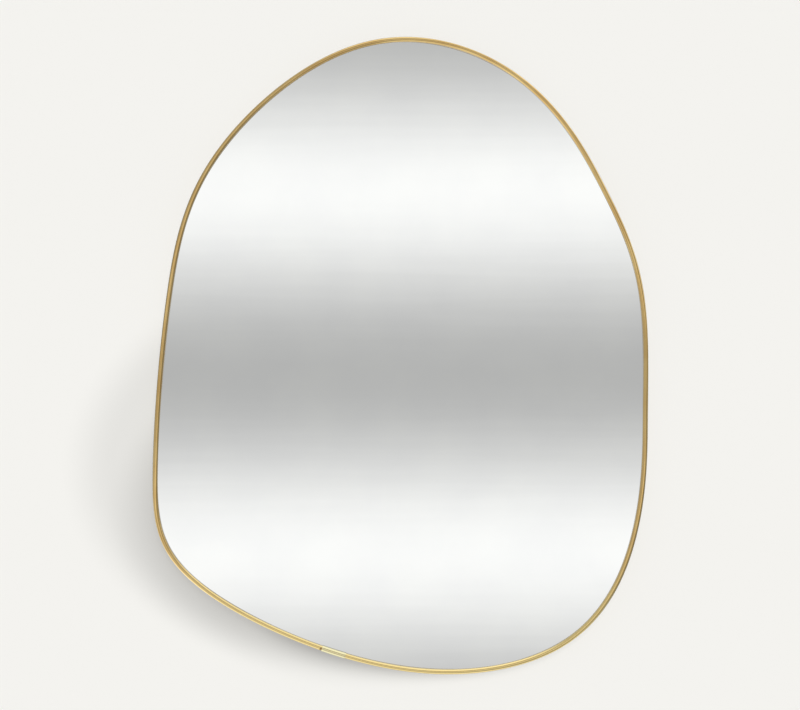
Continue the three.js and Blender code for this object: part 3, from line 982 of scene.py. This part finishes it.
def driveScrews(name, nodeStart, screw, points, turns):
    matrices = {}
    for index, (point, turn) in enumerate(zip(points, turns)):
        node = f"{nodeStart}_{index + 1:02d}"
        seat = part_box(node)[1].y - screw["headHeight"]
        heading = (math.cos(math.radians(turn)), math.sin(math.radians(turn)))
        matrices[node] = onBack(point.x, seat, point.y, heading)
    fixCopies(makeScrew(name, screw), matrices, zincedSteel, "zinced_steel")


driveScrews("clipScrew", "clip_screw", clipScrew, clipScrewPoints, clipScrewTurns)
driveScrews("hangerScrew", "hanger_screw", hangerScrew, hangerScrewPoints, hangerScrewTurns)

strapMatrices = {
    f"hanger_strap_{side}": onBack(axis.x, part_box(f"hanger_strap_{side}")[0].y, axis.z, (0, -1))
    for side, axis in hingeAxis.items()
}
fixCopies(makeStrap(), strapMatrices, zincedSteel, "zinced_steel")

ringMatrices = {
    f"hanger_ring_{side}": Matrix.Translation((axis.x, 0, axis.z)) @ facingRoom(axis.y)
    for side, axis in hingeAxis.items()
}
fixCopies(makeRing(), ringMatrices, zincedSteel, "zinced_steel")

bumperMatrices = {}
for corner in ("upper_left", "upper_right", "lower_left", "lower_right"):
    low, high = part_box(f"wall_bumper_{corner}")
    middle = (low + high) / 2
    bumperMatrices[f"wall_bumper_{corner}"] = onBack(middle.x, low.y, middle.z, (1, 0))
bumperHeight = high.y - low.y
fixCopies(makeBumper(bumperHeight), bumperMatrices, rubber, "rubber")
print("fittings made")

# backdrop, light and camera

stage = {"width": 12.0, "height": 9.0, "gap": mm(0.5), "colour": "#F4F3EF"}  # gap: behind the wall plane
# The photograph's soft shade to the lower left, wider than so shallow a frame can throw, is part of the
# wall's colour. Each is full within a share of its radii and gone at them.
wallShades = (
    {"centre": (-0.0435, -0.473), "radii": (0.388, 0.256), "full": 0.746, "amount": 0.244},
    {"centre": (-0.0715, -0.412), "radii": (0.424, 0.2975), "full": 0.804, "amount": 0.132},
    {"centre": (0.021, -0.604), "radii": (0.258, 0.119), "full": 0.636, "amount": 0.314},
)


def makeBackdrop():
    # the pale wall that the mirror hangs on, seen only from its front
    material, tree, place = startMaterial("mattPaintedWall")
    # Roller stipple about 1.5 mm across
    stipple = addNode(tree, "TexNoise", links={"Vector": place, "Scale": 650.0, "Detail": 2.0}).outputs[0]
    nap = {"Height": stipple, "Strength": 0.15, "Distance": mm(0.1)}
    rolled = addNode(tree, "Bump", links=nap).outputs[0]
    colour = linearColour(stage["colour"])[:3]
    for shade in wallShades:
        (middleX, middleZ), (radiusX, radiusZ) = shade["centre"], shade["radii"]
        spot = addNode(
            tree, "Mapping", {"vector_type": "TEXTURE"},
            {"Vector": place, "Location": (middleX, 0, middleZ), "Scale": (radiusX, 1, radiusZ)},
        ).outputs[0]
        apart = addNode(tree, "VectorMath", {"operation": "LENGTH"}, {0: spot}).outputs["Value"]
        outward = {"Value": apart, "From Min": shade["full"], "To Min": 1 - shade["amount"]}
        bright = addNode(tree, "MapRange", smooth, outward).outputs[0]
        colour = addNode(tree, "VectorMath", {"operation": "SCALE"}, {0: colour, "Scale": bright}).outputs[0]
    paint = addNode(tree, "BsdfDiffuse", links={"Color": colour, "Normal": rolled}).outputs[0]
    clear = addNode(tree, "BsdfTransparent").outputs[0]
    behind = addNode(tree, "NewGeometry").outputs["Backfacing"]
    shader = addNode(tree, "MixShader", links={0: behind, 1: paint, 2: clear}).outputs[0]
    addNode(tree, "OutputMaterial", links={"Surface": shader})

    pickNothing()
    bpy.ops.mesh.primitive_plane_add(
        size=1, location=(edgeCentre.x, stage["gap"], edgeCentre.y), rotation=(math.radians(90), 0, 0)
    )
    piece = startFrom("studioWall")
    piece.scale = (stage["width"], stage["height"], 1)
    applyPlace()
    piece.data.materials.append(material)
    # The wall takes the mirror's shadow, and neither shades nor shows in the mirror
    piece.visible_diffuse = False
    piece.visible_glossy = False
    piece.visible_transmission = False
    piece.visible_shadow = False


lamps = {
    "key": {"strength": 0.3, "direction": (-0.12, 1.0, -0.38), "spread": 24},
    "front": {"strength": 2.55, "direction": (0.0, 1.0, -0.05), "spread": 8},
    "rear": {"strength": 2.2, "direction": (0.5, -1.0, -0.55), "spread": 20},
    "rearFill": {"strength": 1.0, "direction": (-0.7, -1.0, 0.2), "spread": 60},
}


def addLamp(name, settings):
    # a sun, whose spread in degrees sets how soft its shadows are
    bpy.ops.object.light_add(type="SUN")
    lamp = startFrom(name + "Lamp")
    lamp.rotation_euler = Vector(settings["direction"]).to_track_quat("-Z", "Y").to_euler()
    lamp.data.energy = settings["strength"]
    lamp.data.angle = math.radians(settings["spread"])
    lamp.visible_glossy = False


# What the metal and the glass reflect: soft level bands straight ahead, a dimmer room to the sides, and soft
# panels. Heights are sines of the angle from the view. Each panel lies in a direction, full within its inner
# angle and gone at its outer one, and its level is added to the room.
room = {
    "bandMiddle": 0.868,
    "bandSwing": 0.1457,
    "bandPeak": 0.072,
    "bandSpacing": 0.159,
    "bandsFade": 0.94,  # cosines of the angle from the view
    "bandsEnd": 0.66,
    "wisps": 0.003,
    "stripLevel": 0.66,
    "stripStart": 0.15,
    "stripFull": 0.24,
    "left": 0.57,
    "right": 0.33,
    "leftToRight": 0.6,
    "panels": {
        "overhead": {"towards": (0.2, -0.1, 0.97), "inner": 26, "outer": 49, "level": 0.72},
        "window": {"towards": (0.86, 0.17, 0.46), "inner": 14, "outer": 38, "level": 0.78},
        "floor": {"towards": (-0.42, -0.2, -0.88), "inner": 26, "outer": 44, "level": 0.5},
        "hearth": {"towards": (-0.83, 0.28, -0.48), "inner": 18, "outer": 36, "level": 0.66},
        "sill": {"towards": (0.42, 0.2, -0.88), "inner": 14, "outer": 34, "level": 0.64},
        "behind": {"towards": (0.1, 1.0, 0.25), "inner": 15, "outer": 50, "level": 0.4},
        "doorway": {"towards": (-0.8, 0.6, 0.15), "inner": 10, "outer": 45, "level": -0.28},
    },
    "daylight": "#F4FAFF",
    "ambient": 0.1,
}


def makeWorld():
    world = bpy.data.worlds.new("studioRoom")
    scene.world = world
    world.use_nodes = True
    tree = world.node_tree
    tree.nodes.clear()

    direction = addNode(tree, "TexCoord").outputs["Generated"]
    parts = addNode(tree, "SeparateXYZ", links={0: direction}).outputs
    # Level bands straight ahead, with faint wisps along them
    drawn = addNode(tree, "Mapping", links={"Vector": direction, "Scale": (10, 10, 420)}).outputs[0]
    wisps = addNode(tree, "TexNoise", links={"Vector": drawn, "Scale": 1.0, "Detail": 3.0}).outputs[0]
    height = addNode(
        tree, "Math", {"operation": "MULTIPLY_ADD"}, {0: wisps, 1: room["wisps"], 2: parts[2]}
    ).outputs[0]
    fromPeak = addNode(
        tree, "Math", {"operation": "SUBTRACT"}, {0: height, 1: room["bandPeak"] + room["wisps"] / 2}
    ).outputs[0]
    turn = addNode(
        tree, "Math", {"operation": "MULTIPLY"}, {0: fromPeak, 1: 2 * math.pi / room["bandSpacing"]}
    ).outputs[0]
    wave = addNode(tree, "Math", {"operation": "COSINE"}, {0: turn}).outputs[0]
    grey = addNode(
        tree, "Math", {"operation": "MULTIPLY_ADD"}, {0: wave, 1: room["bandSwing"], 2: room["bandMiddle"]}
    ).outputs[0]
    bright = addNode(tree, "Math", {"operation": "POWER"}, {0: grey, 1: 2.2}).outputs[0]
    # A dimmer strip above and below them, which draws the dark line along the rim's crest
    fromLevel = addNode(tree, "Math", {"operation": "ABSOLUTE"}, {0: parts[2]}).outputs[0]
    strip = {
        "Value": fromLevel, "From Min": room["stripStart"], "From Max": room["stripFull"],
        "To Min": 1.0, "To Max": room["stripLevel"],
    }
    dimming = addNode(tree, "MapRange", smooth, strip).outputs[0]
    bands = addNode(tree, "Math", {"operation": "MULTIPLY"}, {0: bright, 1: dimming}).outputs[0]
    # The room beyond them, dimmer from left to right, with its panels
    sideways = {
        "Value": parts[0], "From Min": -room["leftToRight"], "From Max": room["leftToRight"],
        "To Min": room["left"], "To Max": room["right"],
    }
    beyond = addNode(tree, "MapRange", smooth, sideways).outputs[0]
    for softPanel in room["panels"].values():
        towards = Vector(softPanel["towards"]).normalized()
        nearness = addNode(
            tree, "VectorMath", {"operation": "DOT_PRODUCT"}, {0: direction, 1: towards}
        ).outputs["Value"]
        start, full = math.cos(math.radians(softPanel["outer"])), math.cos(math.radians(softPanel["inner"]))
        inward = {"Value": nearness, "From Min": start, "From Max": full, "To Max": softPanel["level"]}
        glow = addNode(tree, "MapRange", smooth, inward).outputs[0]
        beyond = addNode(tree, "Math", {"operation": "ADD"}, {0: beyond, 1: glow}).outputs[0]
    daylight = linearColour(room["daylight"])[:3]
    daylit = addNode(tree, "VectorMath", {"operation": "SCALE"}, {0: daylight, "Scale": beyond}).outputs[0]
    # The bands fade out some 20 to 49 degrees from the view
    forward = addNode(tree, "Math", {"operation": "MULTIPLY"}, {0: parts[1], 1: -1.0}).outputs[0]
    fading = {"Value": forward, "From Min": room["bandsEnd"], "From Max": room["bandsFade"]}
    ahead = addNode(tree, "MapRange", smooth, fading).outputs[0]
    seen = addNode(tree, "Mix", ofColours, {0: ahead, 6: daylit, 7: bands}).outputs[2]

    reflected = addNode(tree, "Background", links={"Color": seen}).outputs[0]
    ambient = addNode(
        tree, "Background", links={"Color": linearColour("#FFFFFF"), "Strength": room["ambient"]}
    ).outputs[0]
    pale = addNode(tree, "Background", links={"Color": linearColour(stage["colour"])}).outputs[0]
    # Only what is seen directly in metal or glass shows the room; light that has bounced off paint is plain
    rays = addNode(tree, "LightPath").outputs
    direct = addNode(tree, "Math", {"operation": "LESS_THAN"}, {0: rays["Diffuse Depth"], 1: 0.5}).outputs[0]
    shiny = addNode(
        tree, "Math", {"operation": "MAXIMUM"}, {0: rays["Is Glossy Ray"], 1: rays["Is Transmission Ray"]}
    ).outputs[0]
    mirrored = addNode(tree, "Math", {"operation": "MULTIPLY"}, {0: shiny, 1: direct}).outputs[0]
    unseen = addNode(tree, "MixShader", links={0: mirrored, 1: ambient, 2: reflected}).outputs[0]
    whole = addNode(tree, "MixShader", links={0: rays["Is Camera Ray"], 1: unseen, 2: pale}).outputs[0]
    addNode(tree, "OutputWorld", links={"Surface": whole})


def addCamera():
    centreX, centreY = photo["mirrorCentre"]
    scale = photo["metresPerPixel"]
    x = edgeCentre.x - (centreX - photo["width"] / 2) * scale
    z = edgeCentre.y + (centreY - photo["height"] / 2) * scale
    nosePlane = rimLow.y + rim["noseRadius"]
    y = nosePlane - photo["cameraDistance"]
    bpy.ops.object.camera_add(location=(x, y, z), rotation=(math.radians(90), 0, 0))
    camera = startFrom("photoCamera")
    camera.data.sensor_width = photo["sensorWidth"]
    camera.data.lens = photo["sensorWidth"] * photo["cameraDistance"] / (photo["width"] * scale)
    camera.data.clip_start = 0.05
    camera.data.clip_end = 60
    scene.camera = camera


makeBackdrop()
for lampName, lampSettings in lamps.items():
    addLamp(lampName, lampSettings)
makeWorld()
addCamera()
scene.view_settings.view_transform = "Standard"
print("stage, light and camera set")
